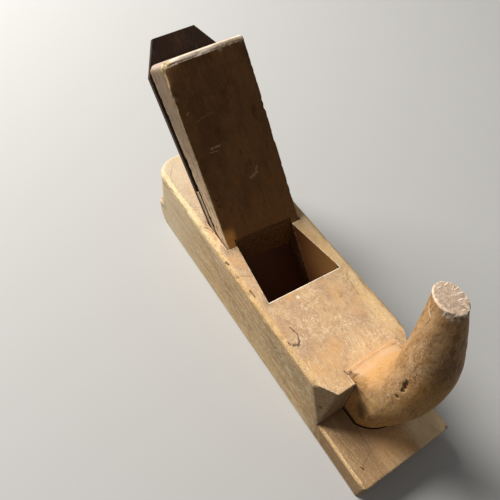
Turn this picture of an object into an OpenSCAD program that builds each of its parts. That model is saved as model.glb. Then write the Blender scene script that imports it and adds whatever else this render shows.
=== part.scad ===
// Horn smoothing plane: a wooden stock with a carved front horn and a double
// iron held on its bed by a forked wedge. The toe points along +X, the sole
// lies on Z = 0 and the origin is the middle of the sole.

/* [Stock] */
// Length of the stock from toe to heel
body_len = 223; // [205:1:245]
// Width of the stock
body_w = 60; // [56:0.5:72]
// Height of the stock above the sole
body_h = 56; // [52:0.5:62]
// Length of the low platform at the toe
nose_len = 39.5; // [34:0.5:46]
// Height of the low platform
nose_h = 19.3; // [15:0.1:26]
// Rounding of the long top edges
arris_r = 3; // [1.5:0.25:5]
// Rounding of the platform's long edges
nose_r = 1.4; // [0.6:0.2:3]
// Rounding of the right toe corner, seen from above
toe_r = 2.2; // [0.8:0.1:6]
// Rounding of the left toe corner, seen from above
toe_left_r = 0.8; // [0.4:0.1:6]
// Rounding of the upper heel corners at the top, seen from above
heel_r = 14; // [8:0.5:20]
// Rounding of the upper heel corners at the ledge, seen from above
heel_low_r = 7.5; // [2:0.5:20]
// Height of the ledge where the heel rounding stops
ledge_h = 20.5; // [17:0.5:26]
// How far the upper heel stands in from the ledge
ledge_in = 1.2; // [0.5:0.1:3]
// Rounding of the ledge's corners, seen from above
ledge_r = 2; // [0.6:0.1:5]
// Radius of the curve under the heel
heel_sole_r = 19; // [16:0.5:26]
// Height of the curve under the heel
heel_sole_h = 14; // [8:0.5:15]
// Length of the corner cuts beside the horn, along the top edge
cut_len = 12; // [6:0.5:18]
// Width of the corner cuts beside the horn, across the top
cut_w = 7.4; // [4:0.2:10]

/* [Throat] */
// Slope of the bed above the sole, in degrees
bed_angle = 47; // [45:0.5:50]
// Distance from the toe to the bed, at the top of the stock
bed_back = 163; // [158:0.5:168]
// Distance from the toe to the wedge's face, at the top of the stock
face_back = 137.7; // [135:0.1:140]
// Distance from the toe to the front of the throat, at the top
throat_back = 97.7; // [92:0.1:101]
// Width of the throat at its front
throat_w = 46.7; // [44:0.1:48.6]
// Width of the throat between the wedge abutments
abutment_w = 36.4; // [32:0.2:39]
// Skew of the wedge's face, in degrees
face_skew = 4.6; // [0:0.2:6]
// Skew of the throat's front wall, in degrees
throat_skew = 2.9; // [0:0.1:4]
// Opening of the mouth in front of the cutting edge
mouth_gap = 2.6; // [1:0.1:4]
// Height of the upright part of the mouth
mouth_h = 8; // [4:0.5:11]

/* [Iron] */
// Width of the iron
iron_w = 48; // [46:0.5:50]
// Length of the iron along its face
iron_len = 183; // [174:1:195]
// Thickness of the iron
iron_t = 3.6; // [2.8:0.1:4.2]
// Width of the iron's head between its clipped corners
iron_head_w = 25.4; // [18:0.1:30]
// Offset of the clipped head to the plane's right
iron_head_off = 1.6; // [0:0.1:3]
// Length of the clipped corners
clip_len = 17.7; // [8:0.1:24]
// Sharpening bevel of the iron, in degrees
bevel_angle = 27; // [24:0.5:35]
// Height of the cutting edge above the sole when the iron is drawn back
edge_set = 0.3; // [0.2:0.05:1]
// Play of the iron in its groove, on each side
iron_play = 0.4; // [0.2:0.05:0.8]
// Clearance between faces that slide on each other: iron on bed, cap iron on iron, wedge on cap iron
slide_play = 0.02; // [0.01:0.01:0.1]
// Width of the iron's slot
slot_w = 12; // [11.6:0.1:14]
// Distance from the cutting edge to the foot of the slot
slot_foot = 32; // [26:0.5:38]
// Distance from the cutting edge to the middle of the slot's round head
slot_head = 126; // [118:0.5:134]
// Play of the screw head in the slot's round head, on each side
keyhole_play = 1; // [0.5:0.1:2]

/* [Cap iron] */
// Length of the cap iron
cap_len = 97.5; // [90:0.5:104]
// Thickness of the cap iron
cap_t = 3; // [2.4:0.1:3.6]
// Distance from the cutting edge back to the cap iron's edge
cap_set = 1.5; // [1:0.1:3]
// Length of the hump behind the cap iron's edge
hump_len = 13; // [9:0.5:15]
// Height of the hump above the cap iron
hump_h = 2.2; // [1:0.1:3]
// Distance from the cap iron's edge to its screw
screw_at = 58; // [54:0.5:64]
// Diameter of the screw's shank
screw_d = 8; // [6:0.5:8.5]
// Diameter of the screw's head
head_d = 20; // [17:0.5:22]
// Thickness of the screw's head
head_t = 4; // [3:0.1:5]
// Width of the driver slot in the screw's head
driver_w = 2; // [1.2:0.1:3]
// Depth of the driver slot in the screw's head
driver_d = 1.8; // [1:0.1:2.4]
// Diameter of the threaded bush where it is riveted in the cap iron
bush_d = 14; // [13:0.5:17]
// Clearance between the screw and its bush, on the radius
screw_play = 0.05; // [0.02:0.01:0.1]
// Clearance between the bush and the sides of the iron's slot
bush_play = 0.3; // [0.1:0.05:0.6]

/* [Wedge] */
// Length of the wedge's face above the stock
wedge_rise = 106.3; // [92:0.1:115]
// Angle between the wedge's back and its face, in degrees
taper = 6; // [4:0.5:8]
// Slope of the wedge's top end, in degrees off square with its face
top_slope = 0; // [-6:0.5:12]
// How far the worn front arris of the top end reaches down the face
worn_face = 3; // [0.5:0.1:5]
// How far the worn front arris reaches back over the top end
worn_end = 1; // [0.3:0.1:3]
// Play of the wedge in its groove, on each side
wedge_play = 1.1; // [0.3:0.1:1.6]
// Clearance between the wedge's face and the abutments
wedge_fit = 0.15; // [0.15:0.01:0.4]
// Height above the stock at which the cut between the legs starts
fork_rise = 2.5; // [0.5:0.1:5]
// Height of the cut between the legs
fork_drop = 20.5; // [16:0.5:24]
// Distance from the cap iron's hump to the tips of the legs
leg_gap = 1.2; // [0.8:0.1:6]
// Rounding of the wedge's top corner on the plane's right
wedge_r = 4; // [1:0.5:6]
// Rounding of the wedge's top corner on the plane's left
wedge_left_r = 1.2; // [0.6:0.1:6]

/* [Horn] */
// Offset of the horn to the plane's left
horn_off = 4.1; // [0:0.1:6]
// Width of the horn's tongue
tongue_w = 33; // [28:0.5:36]
// Depth of the tongue in the stock
tongue_depth = 6.7; // [4:0.1:9]
// Height of the slanting shoulders above the tongue
shoulder_h = 5; // [2:0.5:7]
// Height of the horn above its platform
horn_h = 112.6; // [96:0.2:122]
// Width of the horn at its foot, between the flats of the tongue if wider
foot_w = 36; // [30:0.5:40]
// How far the foot of the horn stands out from the step
foot_out = 20.5; // [17:0.1:23]
// How far the belly of the horn stands out from the step
belly_out = 30.6; // [26:0.1:34]
// How far the horn's end stands back from its belly
end_back = 16.3; // [8:0.1:18]
// Thickness of the horn's neck, from front to back
neck_t = 27; // [23:0.5:30]
// Width of the horn's neck
neck_w = 26.5; // [22:0.5:30]
// Thickness of the horn's sawn end, from front to back
end_t = 15.8; // [12:0.1:20]
// Width of the horn's sawn end
end_w = 13.3; // [10:0.1:18]
// Lean of the horn to the plane's left, in degrees
horn_lean = 4.2; // [0:0.1:6]
// Slope of the sawn end, in degrees
end_slope = 8.5; // [0:0.5:16]

/* [Hidden] */
// Facets of a full circle
$fn = 64;
// Overshoot of a cut past the face that it opens
over = 1;
// Size of a cutting block that reaches past everything
far = 400;

toe_x = body_len / 2;
heel_x = -body_len / 2;
step_x = toe_x - nose_len;
side_y = body_w / 2;
upper_heel_x = heel_x + ledge_in;

// The bed meets the sole at bed_x, and face_angle is the slope of the wedge's face
bed_x = toe_x - bed_back + body_h / tan(bed_angle);
face_x = toe_x - face_back;
wall_x = toe_x - throat_back;
groove_w = iron_w + 2 * iron_play;
cap_top = iron_t + cap_t;

face_angle = bed_angle + taper;

// Distances up the bed from bed_x
edge_s = (edge_set - iron_t * cos(bed_angle)) / sin(bed_angle);
iron_s = edge_s + iron_len;
cap_s = edge_s + cap_set;
screw_s = cap_s + screw_at;
hump_s = cap_s + hump_len;
bed_s = body_h / sin(bed_angle);

// Front of the mouth, worked out from the cutting edge
edge_x = bed_x - edge_s * cos(bed_angle) + iron_t * sin(bed_angle);
mouth_x = edge_x + mouth_gap;

// The wall of the throat leans from wall_x at the top to the mouth's upright part
wall_angle = 90 - atan((wall_x - mouth_x) / (body_h - mouth_h));

// Room under the iron for the screw's head, which also slides down a little
head_room = 1;
head_travel = 2.5;

// The cut between the wedge's legs, from the face down to the cap iron
fork_z = body_h + fork_rise;
fork_x = face_x - fork_rise / tan(face_angle);
foot_z = fork_z - fork_drop;
foot_s = (foot_z - cap_top * cos(bed_angle)) / sin(bed_angle);
foot_x = bed_x - foot_s * cos(bed_angle) + cap_top * sin(bed_angle);
fork_angle = 90 - atan((foot_x - fork_x) / fork_drop);
wedge_w = groove_w - 2 * wedge_play;
leg_in = abutment_w / 2;

// Steps of the curves that are worked out by functions
hump_steps = 12;
horn_rings = 36;
ring_sides = 48;
// The horn's sections are square at the back near the foot and round above
square_power = 7;
round_power = 2;
// Where the horn's back leaves the stock, and where it has become the neck
neck_rise = 20;
// Height of the horn's belly, as a share of its height
belly_at = 0.52;

// A block above the plane through p that leans forward by tilt and is turned by yaw
module beyond(p, tilt, yaw = 0)
    translate(p)
    rotate([0, 0, yaw])
    rotate([0, tilt, 0])
    translate([-far / 2, -far / 2, 0])
    cube(far);

// Puts a piece on the bed: +X runs down the bed to the mouth, +Z stands off it
module on_bed()
    translate([bed_x, 0, 0])
    rotate([0, bed_angle, 0])
    children();

// Section across the stock, with both top corners rounded
module across(h, r) {
    translate([-side_y, 0])
        square([body_w, h - r]);
    translate([-side_y + r, 0])
        square([body_w - 2 * r, h]);
    for (s = [-1, 1])
        translate([s * (side_y - r), h - r])
            circle(r);
}

// A length of the stock from x0 to x1
module along(x0, x1, h, r)
    translate([x0, 0, 0])
    rotate([90, 0, 90])
    linear_extrude(x1 - x0)
    across(h, r);

// The upper heel: its corners are rounder at the top than at the ledge
module upper_heel() {
    lid_z = body_h - arris_r;
    hull()
        for (s = [-1, 1]) {
            translate([upper_heel_x + heel_r, s * (side_y - heel_r), lid_z - over])
                cylinder(h = over, r = heel_r);
            translate([upper_heel_x + heel_low_r, s * (side_y - heel_low_r), ledge_h - over])
                cylinder(h = over, r = heel_low_r);
            translate([upper_heel_x + heel_r + heel_low_r, s * (side_y - over / 2), (lid_z + ledge_h) / 2])
                cube([over, over, lid_z - ledge_h], center = true);
        }
    for (s = [-1, 1])
        translate([upper_heel_x + heel_r, s * (side_y - heel_r), lid_z - over])
            rotate_extrude() {
                square([heel_r, over]);
                square([heel_r - arris_r, over + arris_r]);
                intersection() {
                    translate([heel_r - arris_r, over])
                        circle(arris_r);
                    square([heel_r, over + arris_r]);
                }
            }
    translate([0, side_y - heel_r, 0])
        rotate([90, 0, 0])
            linear_extrude(body_w - 2 * heel_r) {
                translate([upper_heel_x, lid_z - over])
                    square([heel_r + over, over]);
                translate([upper_heel_x + arris_r, lid_z - over])
                    square([heel_r - arris_r + over, over + arris_r]);
                translate([upper_heel_x + arris_r, lid_z])
                    circle(arris_r);
            }
}

// What the curve under the heel takes away
module heel_sole_cut() {
    drop_x = heel_sole_r - sqrt(heel_sole_r * heel_sole_r - heel_sole_h * heel_sole_h);
    translate([0, side_y + over, 0])
        rotate([90, 0, 0])
            linear_extrude(body_w + 2 * over)
                difference() {
                    translate([heel_x - over, -over])
                        square([drop_x + over, heel_sole_h + over]);
                    translate([heel_x + heel_sole_r, heel_sole_h])
                        circle(heel_sole_r, $fn = 128);
                }
}

// What the rounding of one toe corner takes away, s = 1 for the plane's left
module toe_corner_cut(s, r, h)
    difference() {
        translate([toe_x - r, s > 0 ? side_y - r : -side_y - over, -over])
            cube([r + over, r + over, h + over]);
        translate([toe_x - r, s * (side_y - r), -2 * over])
            cylinder(h = h + 3 * over, r = r);
    }

// The same at the heel, under the ledge
module ledge_corner_cut(s)
    mirror([1, 0, 0])
        toe_corner_cut(s, ledge_r, ledge_h + over);

// The slanting corner cut beside the horn, from nothing at the platform to full at the top
module step_corner_cut(s) {
    side = [step_x - cut_len, s * side_y, body_h];
    front = [step_x, s * (side_y - cut_w), body_h];
    low = [step_x, s * side_y, nose_h];
    n = s * cross(front - side, low - side);
    intersection() {
        beyond(side, acos(n.z / norm(n)), atan2(n.y, n.x));
        translate([step_x - 2 * cut_len, s > 0 ? 0 : -side_y - over, nose_h])
            cube([2 * cut_len + over, side_y + over, body_h]);
    }
}

// The slanting groove in which the iron lies and the wedge's legs bear
module iron_groove()
    difference() {
        on_bed()
            translate([-far / 2, -groove_w / 2, 0])
                cube([far, groove_w, far]);
        beyond([face_x + wedge_fit / sin(face_angle), 0, body_h], face_angle, -face_skew);
        beyond([wall_x, 0, body_h], wall_angle, -throat_skew);
        below_throat();
    }

// Everything under the top of the mouth's upright part
module below_throat()
    translate([-far / 2, -far / 2, mouth_h - far])
        cube(far);

// The chip throat in front of the wedge, between two flared cheeks
module chip_throat()
    difference() {
        translate([face_x - far / 2, -throat_w / 2 - far / 4, mouth_h - over])
            cube([far, throat_w + far / 2, body_h]);
        on_bed()
            translate([-far, -far, -2 * far])
                cube(2 * far);
        beyond([wall_x, 0, body_h], wall_angle, -throat_skew);
        below_throat();
        for (s = [-1, 1])
            cheek(s);
    }

// The wood beside one cheek, which flares from the abutment's inner edge to the throat's front
module cheek(s) {
    inner = [face_x + s * leg_in * tan(face_skew), s * leg_in, body_h];
    front = [wall_x + s * throat_w / 2 * tan(throat_skew), s * throat_w / 2, body_h];
    down = [cos(face_angle), 0, -sin(face_angle) * cos(face_skew)];
    n = s * cross(front - inner, down);
    beyond(inner, acos(n.z / norm(n)), atan2(n.y, n.x));
}

// The upright part of the mouth
module mouth()
    intersection() {
        on_bed()
            translate([-far / 2, -groove_w / 2, 0])
                cube([far, groove_w, far]);
        translate([bed_x - mouth_h, -groove_w / 2, -over])
            cube([mouth_x - bed_x + mouth_h, groove_w, mouth_h + over]);
    }

// The channel in the bed that lets the screw's head pass
module head_channel() {
    channel_r = head_d / 2 + head_room;
    foot = screw_s - head_travel;
    on_bed()
        translate([0, 0, -head_t - head_room]) {
            translate([-foot, 0, 0])
                cylinder(h = head_t + head_room + over, r = channel_r);
            translate([-foot - bed_s, -channel_r, 0])
                cube([bed_s, 2 * channel_r, head_t + head_room + over]);
        }
}

module stock()
    color("burlywood")
    difference() {
        union() {
            along(step_x - over, toe_x, nose_h, nose_r);
            along(upper_heel_x + heel_r, step_x, body_h, arris_r);
            upper_heel();
            difference() {
                translate([heel_x, -side_y, 0])
                    cube([step_x - heel_x, body_w, ledge_h]);
                for (s = [-1, 1])
                    ledge_corner_cut(s);
            }
        }
        heel_sole_cut();
        for (s = [-1, 1]) {
            toe_corner_cut(s, s > 0 ? toe_left_r : toe_r, nose_h + over);
            step_corner_cut(s);
        }
        iron_groove();
        chip_throat();
        mouth();
        head_channel();
        translate([step_x - tongue_depth, horn_off - tongue_w / 2, nose_h])
            cube([tongue_depth + over, tongue_w, body_h]);
    }

// Cubic curve through the ends a and d, drawn towards b and c
function bezier(a, b, c, d, t) =
    a * pow(1 - t, 3) + 3 * b * t * pow(1 - t, 2) + 3 * c * t * t * (1 - t) + d * pow(t, 3);

// Runs smoothly from 0 at a to 1 at b
function ease(a, b, t) =
    let (u = min(1, max(0, (t - a) / (b - a)))) u * u * (3 - 2 * u);

// The horn's outline at a share t of its height, as distances in front of the step
function horn_front(t) =
    t < belly_at
    ? foot_out + (belly_out - foot_out) * sin(90 * t / belly_at)
    : belly_out - end_back * (1 - cos(90 * (t - belly_at) / (1 - belly_at)));
function horn_neck(t) =
    let (u = (t - belly_at) / (1 - belly_at))
    t < belly_at ? neck_t : neck_t + (end_t - neck_t) * (1 - cos(90 * u));
function horn_back(t) =
    let (
        top = (body_h - nose_h) / horn_h,
        low = -tongue_depth,
        high = horn_front(t) - horn_neck(t)
    )
    low + (high - low) * sqrt(ease(top, top + neck_rise / horn_h, t));
function horn_half_w(t) =
    bezier(foot_w / 2, foot_w / 2, neck_w / 2, end_w / 2, t);
function horn_power(t) =
    let (top = (body_h - nose_h) / horn_h)
    square_power + (round_power - square_power) * ease(top / 2, top + neck_rise / horn_h, t);

// One point of a section: a round front half and a squarer back half
function horn_point(t, a) =
    let (
        front = horn_front(t),
        back = horn_back(t),
        mid = min(front - horn_half_w(t), (front + back) / 2),
        p = cos(a) > 0 ? round_power : horn_power(t),
        reach = cos(a) > 0 ? front - mid : mid - back,
        w = horn_half_w(t),
        x = mid + reach * sign(cos(a)) * pow(abs(cos(a)), 2 / p),
        wide = w * sign(sin(a)) * pow(abs(sin(a)), 2 / p),
        y = min(tongue_w / 2, max(-tongue_w / 2, wide)),
        z = horn_h * t,
        slope = tan(end_slope) * ease(belly_at, 1, t),
        lean = tan(horn_lean) * max(0, z - body_h + nose_h)
    )
    [step_x + x, horn_off + y + lean, nose_h + z - slope * y];

module horn() {
    points = [
        for (i = [0 : horn_rings])
            for (j = [0 : ring_sides - 1])
                horn_point(i / horn_rings, 360 * j / ring_sides)
    ];
    sides = [
        for (i = [0 : horn_rings - 1])
            for (j = [0 : ring_sides - 1])
                let (
                    k = (j + 1) % ring_sides,
                    a = i * ring_sides + j,
                    b = i * ring_sides + k
                )
                [a, a + ring_sides, b + ring_sides, b]
    ];
    foot = [for (j = [0 : ring_sides - 1]) j];
    end = [for (j = [ring_sides - 1 : -1 : 0]) horn_rings * ring_sides + j];
    color("peru")
        union() {
            difference() {
                polyhedron(points, concat(sides, [foot, end]), convexity = 6);
                translate([step_x - far, -far / 2, nose_h - over])
                    cube([far, far, body_h - nose_h + over]);
            }
            translate([step_x - tongue_depth, horn_off - tongue_w / 2, nose_h])
                cube([tongue_depth, tongue_w, body_h - nose_h]);
            shoulder();
        }
}

// The horn's slanting shoulders, at 45 degrees above the tongue
module shoulder()
    difference() {
        translate([step_x - tongue_depth, horn_off - tongue_w / 2, body_h - over])
            cube([2 * tongue_depth, tongue_w, shoulder_h + over]);
        beyond([step_x - tongue_depth, 0, body_h], 45, 180);
        for (s = [-1, 1])
            beyond([0, horn_off + s * tongue_w / 2, body_h], 45, 90 * s);
    }

// The wedge is what is left of a board between the cap iron and the abutments
module wedge()
    color("tan")
    difference() {
        on_bed()
            translate([-iron_s, -wedge_w / 2, cap_top + slide_play])
                cube([iron_s - hump_s - leg_gap, wedge_w, iron_s / 2]);
        beyond([face_x, 0, body_h], face_angle, -face_skew);
        wedge_top()
            beyond([0, 0, 0], top_slope);
        wedge_top()
            worn_arris();
        intersection() {
            beyond([fork_x, 0, fork_z], fork_angle, -face_skew);
            translate([-far / 2, -leg_in, 0])
                cube([far, 2 * leg_in, far]);
        }
        for (s = [-1, 1])
            wedge_top()
                rotate([0, top_slope, 0])
                    mirror([0, s < 0 ? 1 : 0, 0])
                        wedge_corner_cut(s < 0 ? wedge_r : wedge_left_r);
    }

// Places a cut at the wedge's top end, with +Z up its face
module wedge_top()
    translate([
        face_x - wedge_rise * cos(face_angle),
        0,
        body_h + wedge_rise * sin(face_angle)
    ])
    rotate([0, face_angle - 90, 0])
    children();

// What wear has taken off the front arris of the top end, which runs skew as the face does
module worn_arris()
    rotate([0, 0, -atan(tan(face_skew) * sin(face_angle))])
        beyond(
            [-worn_end * cos(top_slope), 0, worn_end * sin(top_slope)],
            atan2(worn_face + worn_end * sin(top_slope), worn_end * cos(top_slope))
        );

// What the rounding of one top corner takes away
module wedge_corner_cut(r)
    difference() {
        translate([-far / 4, wedge_w / 2 - r, -r])
            cube([far / 2, r + over, r + over]);
        translate([-far / 3, wedge_w / 2 - r, -r])
            rotate([0, 90, 0])
                cylinder(h = far * 2 / 3, r = r);
    }

module iron() {
    keyhole_r = head_d / 2 + keyhole_play;
    bevel_s = (iron_t - slide_play) / tan(bevel_angle);
    color([0.2, 0.16, 0.13])
        on_bed()
            difference() {
                intersection() {
                    rotate([90, 0, 0])
                        translate([0, 0, -iron_w / 2])
                            linear_extrude(iron_w)
                                polygon([
                                    [-edge_s, iron_t],
                                    [-edge_s - bevel_s, slide_play],
                                    [-iron_s, slide_play],
                                    [-iron_s, iron_t]
                                ]);
                    translate([0, 0, -over])
                        linear_extrude(iron_t + 2 * over)
                            polygon([
                                [over - edge_s, -iron_w / 2],
                                [clip_len - iron_s, -iron_w / 2],
                                [-iron_s, -iron_head_off - iron_head_w / 2],
                                [-iron_s, iron_head_w / 2 - iron_head_off],
                                [clip_len - iron_s, iron_w / 2],
                                [over - edge_s, iron_w / 2]
                            ]);
                }
                translate([-edge_s - slot_head, 0, -over])
                    cylinder(h = iron_t + 2 * over, r = keyhole_r);
                translate([-edge_s - slot_foot - slot_w / 2, 0, -over])
                    cylinder(h = iron_t + 2 * over, d = slot_w);
                translate([-edge_s - slot_head, -slot_w / 2, -over])
                    cube([slot_head - slot_foot - slot_w / 2, slot_w, iron_t + 2 * over]);
            }
}

// Height of the cap iron's upper face above the iron, at a share u of its hump
function hump_top(u) =
    max(slide_play, cap_t * sin(90 * min(1, 2 * u)) + hump_h * pow(sin(180 * u), 2));
// Height of its hollow underside there
function hump_under(u) = slide_play + hump_h * pow(sin(180 * u), 2);

module cap_iron()
    color([0.27, 0.23, 0.2])
    on_bed()
        difference() {
            rotate([90, 0, 0])
                translate([0, 0, -iron_w / 2])
                    linear_extrude(iron_w)
                        polygon(concat(
                            [
                                for (i = [0 : hump_steps])
                                    [-cap_s - hump_len * i / hump_steps, iron_t + hump_top(i / hump_steps)]
                            ],
                            [
                                [-cap_s - cap_len, cap_top],
                                [-cap_s - cap_len, iron_t + slide_play]
                            ],
                            [
                                for (i = [hump_steps : -1 : 1])
                                    [-cap_s - hump_len * i / hump_steps, iron_t + hump_under(i / hump_steps)]
                            ]
                        ));
            translate([-screw_s, 0, iron_t - over])
                cylinder(h = cap_t + 2 * over, d = bush_d);
        }

// The bush is riveted flush in the cap iron and guides it in the iron's slot
module cap_bush()
    color("darkgoldenrod")
    on_bed()
        translate([-screw_s, 0, 0])
            difference() {
                union() {
                    translate([0, 0, iron_t + slide_play])
                        cylinder(h = cap_t - slide_play, d = bush_d);
                    translate([0, 0, bush_play])
                        cylinder(h = iron_t + slide_play - bush_play, d = slot_w - 2 * bush_play);
                }
                translate([0, 0, -over])
                    cylinder(h = cap_top + 2 * over, r = screw_d / 2 + screw_play);
            }

module cap_screw()
    color("dimgray")
    on_bed()
        translate([-screw_s, 0, 0])
            difference() {
                union() {
                    translate([0, 0, -head_t])
                        cylinder(h = head_t, d = head_d);
                    cylinder(h = cap_top - bush_play, d = screw_d);
                }
                translate([-head_d, -driver_w / 2, -head_t - over])
                    cube([2 * head_d, driver_w, driver_d + over]);
            }

stock();
horn();
wedge();
iron();
cap_iron();
cap_bush();
cap_screw();
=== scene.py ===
import math

import bmesh
import bpy
import numpy as np
from mathutils import Matrix, Vector, kdtree


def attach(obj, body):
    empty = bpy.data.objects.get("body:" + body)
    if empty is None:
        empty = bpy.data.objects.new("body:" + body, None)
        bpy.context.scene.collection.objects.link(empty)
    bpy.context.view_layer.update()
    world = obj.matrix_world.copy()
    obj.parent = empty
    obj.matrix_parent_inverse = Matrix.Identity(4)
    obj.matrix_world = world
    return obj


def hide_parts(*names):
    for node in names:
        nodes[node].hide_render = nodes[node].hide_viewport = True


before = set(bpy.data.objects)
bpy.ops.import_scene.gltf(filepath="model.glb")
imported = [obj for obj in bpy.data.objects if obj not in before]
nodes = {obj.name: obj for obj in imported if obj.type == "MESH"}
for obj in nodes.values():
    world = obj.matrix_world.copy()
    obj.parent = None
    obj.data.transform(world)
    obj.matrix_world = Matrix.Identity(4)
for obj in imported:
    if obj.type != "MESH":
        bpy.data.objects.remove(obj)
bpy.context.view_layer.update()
millimetre = 0.001
print("frame loaded:", ", ".join(sorted(nodes)))

# Directions of the sloping bed, as in the part's own source
bedAngle = math.radians(47)
upBed = Vector((-math.cos(bedAngle), 0, math.sin(bedAngle)))
offBed = Vector((math.sin(bedAngle), 0, math.cos(bedAngle)))
across = Vector((0, 1, 0))
# The wedge's face: a point on it and its outward direction
faceAngle = math.radians(53)
faceSkew = math.radians(-4.6)
facePoint = Vector((-26.2, 0, 56))
faceOut = Vector((
    math.sin(faceAngle) * math.cos(faceSkew),
    math.sin(faceAngle) * math.sin(faceSkew),
    math.cos(faceAngle),
))
# The horn: the centre of its round foot, its tongue's corner, and its sawn end
footCentre = (74.5, 4.1, 19.3)
tongueCorner = (65.3, -12.4, 56)
hornEnd = (78.4, 9.4, 131.9)
hornEndOut = (0.0, 0.148, 0.989)


def paint(red, green, blue):
    # A screen colour, 0 to 255, as the linear colour that a shader takes
    def linear(v):
        v /= 255
        return v / 12.92 if v <= 0.04045 else ((v + 0.055) / 1.055) ** 2.4

    return (linear(red), linear(green), linear(blue), 1)


def addObject(name, data):
    body = bpy.data.objects.new(name, data)
    bpy.context.scene.collection.objects.link(body)
    return body


# Short ways to write nodes into a tree. Where a value is fed, a word is one of the paints, and
# (value, low, high) or (value, low, high, first, last) is a step
class Nodes:
    def __init__(self, tree, paints=None):
        self.tree = tree
        self.paints = {label: paint(*colour) for label, colour in (paints or {}).items()}

    def feed(self, socket, value):
        if isinstance(value, str):
            value = self.paints[value]
        elif isinstance(value, tuple) and isinstance(value[0], bpy.types.NodeSocket):
            value = self.step(*value)
        if isinstance(value, bpy.types.NodeSocket):
            self.tree.links.new(value, socket)
        else:
            socket.default_value = value

    def put(self, kind, inputs, **settings):
        node = self.tree.nodes.new("ShaderNode" + kind)
        for key, value in settings.items():
            setattr(node, key, value)
        for key, value in inputs.items():
            self.feed(node.inputs[key], value)
        return node

    def math(self, operation, a, b=0, **settings):
        return self.put("Math", {0: a, 1: b}, operation=operation, **settings).outputs[0]

    def vector(self, operation, a, b, output=0):
        return self.put("VectorMath", {0: a, 1: b}, operation=operation).outputs[output]

    def step(self, value, low, high, first=0, last=1):
        # Smooth rise from first at low to last at high
        inputs = {"Value": value, "From Min": low, "From Max": high, "To Min": first, "To Max": last}
        return self.put("MapRange", inputs, interpolation_type="SMOOTHSTEP").outputs[0]


def lineGroup():
    # 1 on a line between two places, falling to 0 at its width
    name = "distance to a line"
    if name in bpy.data.node_groups:
        return bpy.data.node_groups[name]
    group = bpy.data.node_groups.new(name, "ShaderNodeTree")
    for label in ("Place", "From", "To"):
        group.interface.new_socket(label, in_out="INPUT", socket_type="NodeSocketVector")
    group.interface.new_socket("Width", in_out="INPUT", socket_type="NodeSocketFloat")
    group.interface.new_socket("Mask", in_out="OUTPUT", socket_type="NodeSocketFloat")
    source = group.nodes.new("NodeGroupInput").outputs
    target = group.nodes.new("NodeGroupOutput").inputs
    n = Nodes(group)
    reach = n.vector("SUBTRACT", source["Place"], source["From"])
    line = n.vector("SUBTRACT", source["To"], source["From"])
    reachAlong = n.vector("DOT_PRODUCT", reach, line, "Value")
    share = n.math("DIVIDE", reachAlong, n.vector("DOT_PRODUCT", line, line, "Value"), use_clamp=True)
    nearest = n.put("VectorMath", {0: line, "Scale": share}, operation="SCALE").outputs[0]
    distance = n.vector("DISTANCE", reach, nearest, "Value")
    n.feed(target["Mask"], n.step(distance, 0, source["Width"], 1, 0))
    return group


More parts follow.
